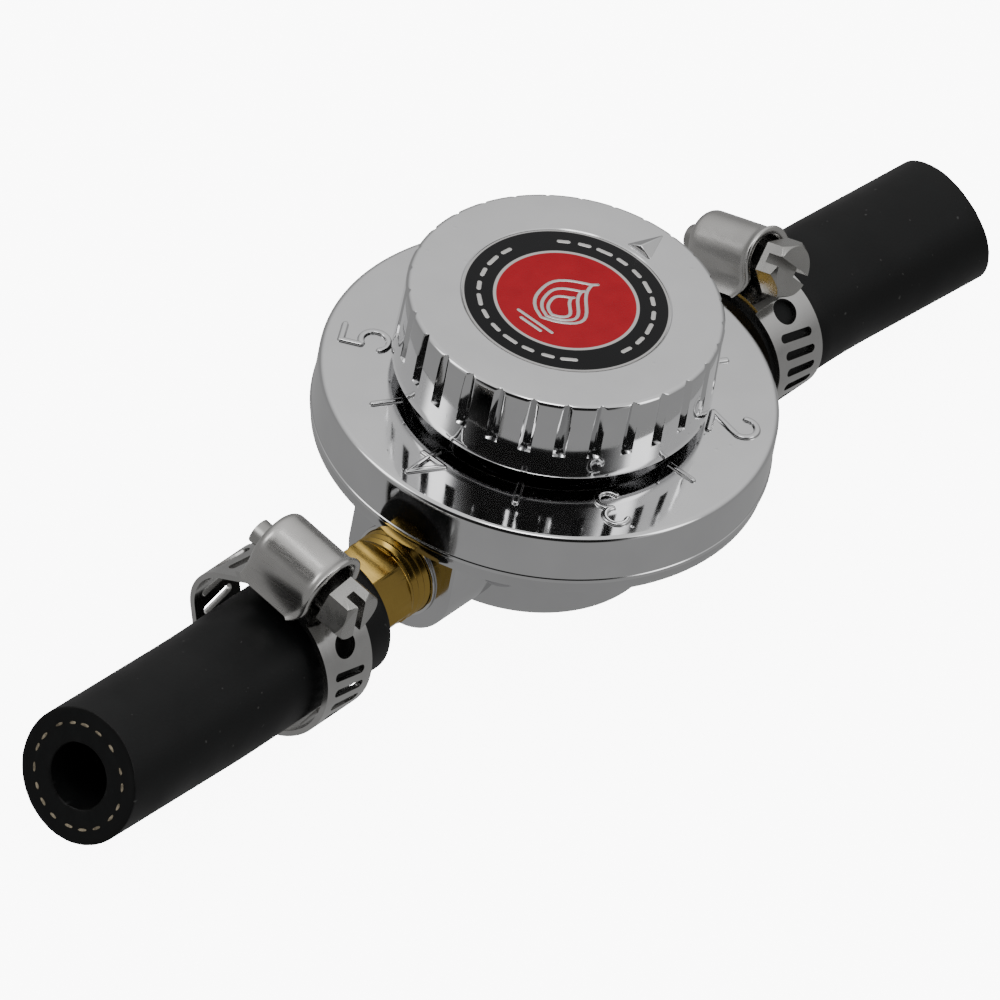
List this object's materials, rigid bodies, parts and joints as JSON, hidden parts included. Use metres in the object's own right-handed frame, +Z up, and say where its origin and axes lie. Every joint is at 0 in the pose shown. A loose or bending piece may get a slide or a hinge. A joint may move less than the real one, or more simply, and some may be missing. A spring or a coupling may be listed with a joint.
{
  "type": "adjustable gas regulator with two clamped hose tails",
  "caption": "Adjustable low-pressure gas regulator with a dial knob between two short rubber hose tails held by worm-drive clamps.",
  "frame": {"origin": "centre of the flat bottom of the central boss, on the knob's axis", "axes": "+Z up along the knob's axis, +X along the gas line towards the outlet tail, +Y across"},
  "size_m": [0.1597, 0.055, 0.0396],
  "materials": {
    "zinc_bright": "bright plated die cast",
    "steel_screws": "plated",
    "steel_plain": "plain pressed steel",
    "spring_steel": "drawn wire",
    "knob_plastic": "satin metal-plated plastic",
    "label_face": "printed disc: black rim, silver line, red middle, no wording",
    "brass": "machined",
    "brass_inner": "machined",
    "filter_bronze": "sintered",
    "washer_bright": "bright",
    "diaphragm_rubber": "matt",
    "hose_rubber": "matt",
    "clamp_band_steel": "satin",
    "clamp_housing_steel": "satin",
    "clamp_screw_steel": "plated"
  },
  "bodies": {
    "casing": {"lower_body": "zinc_bright", "bonnet": "zinc_bright", "cover_screws": "steel_screws", "stop_pin": "steel_screws", "diaphragm": "diaphragm_rubber", "lever_pin": "steel_plain", "inlet_nozzle": "brass_inner", "inlet_filter": "filter_bronze", "inlet_fitting": "brass", "inlet_washer": "washer_bright", "inlet_hose": "hose_rubber", "inlet_clamp_band": "clamp_band_steel", "inlet_clamp_housing": "clamp_housing_steel", "outlet_fitting": "brass", "outlet_washer": "washer_bright", "outlet_hose": "hose_rubber", "outlet_clamp_band": "clamp_band_steel", "outlet_clamp_housing": "clamp_housing_steel"},
    "spring_seat": {"spring_cap": "steel_screws", "adjusting_spring": "spring_steel"},
    "knob": {"knob": "knob_plastic", "knob_label": "label_face", "knob_screw": "steel_screws", "adjusting_screw": "brass_inner"},
    "diaphragm_stack": {"diaphragm_plate": "steel_plain", "diaphragm_washer": "steel_plain", "diaphragm_stud": "steel_plain"},
    "lever": {"lever": "steel_plain"},
    "valve": {"valve_plunger": "brass_inner", "seat_pad": "diaphragm_rubber"},
    "inlet_clamp_screw": {"inlet_clamp_screw": "clamp_screw_steel"},
    "outlet_clamp_screw": {"outlet_clamp_screw": "clamp_screw_steel"}
  },
  "joints": [
    {"name": "cap_slide", "type": "slide", "parent": "casing", "child": "spring_seat", "axis": [0, 0, 1], "range_m": [-0.0016, 0], "deforming": ["adjusting_spring"]},
    {"name": "knob_turn", "type": "hinge", "parent": "spring_seat", "child": "knob", "pos_m": [0, 0, 0.03], "axis": [0, 0, 1], "range_deg": [-240, 0]},
    {"name": "diaphragm_lift", "type": "slide", "parent": "casing", "child": "diaphragm_stack", "axis": [0, 0, 1], "range_m": [0, 0.0012], "stiffness_N_per_m": 1500, "springref_m": -0.006, "deforming": ["diaphragm"]},
    {"name": "lever_rock", "type": "hinge", "parent": "casing", "child": "lever", "pos_m": [0.008, 0, 0.0115], "axis": [0, 1, 0], "range_deg": [0, 8.6]},
    {"name": "valve_slide", "type": "slide", "parent": "casing", "child": "valve", "axis": [1, 0, 0], "range_m": [-0.00075, 0]},
    {"name": "inlet_clamp_turn", "type": "hinge", "parent": "casing", "child": "inlet_clamp_screw", "pos_m": [-0.0455, -0.00075, 0.0199], "axis": [0, -0.9877, -0.1564], "continuous": true},
    {"name": "outlet_clamp_turn", "type": "hinge", "parent": "casing", "child": "outlet_clamp_screw", "pos_m": [0.0398, 0.00354, 0.01739], "axis": [0, -0.9511, 0.309], "continuous": true}
  ],
  "couplings": [
    {"joint": "cap_slide", "follows": "knob_turn", "m_per_rad": 0.00038197},
    {"joint": "lever_rock", "follows": "diaphragm_lift", "rad_per_m": 125},
    {"joint": "valve_slide", "follows": "diaphragm_lift", "ratio": -0.625}
  ]
}
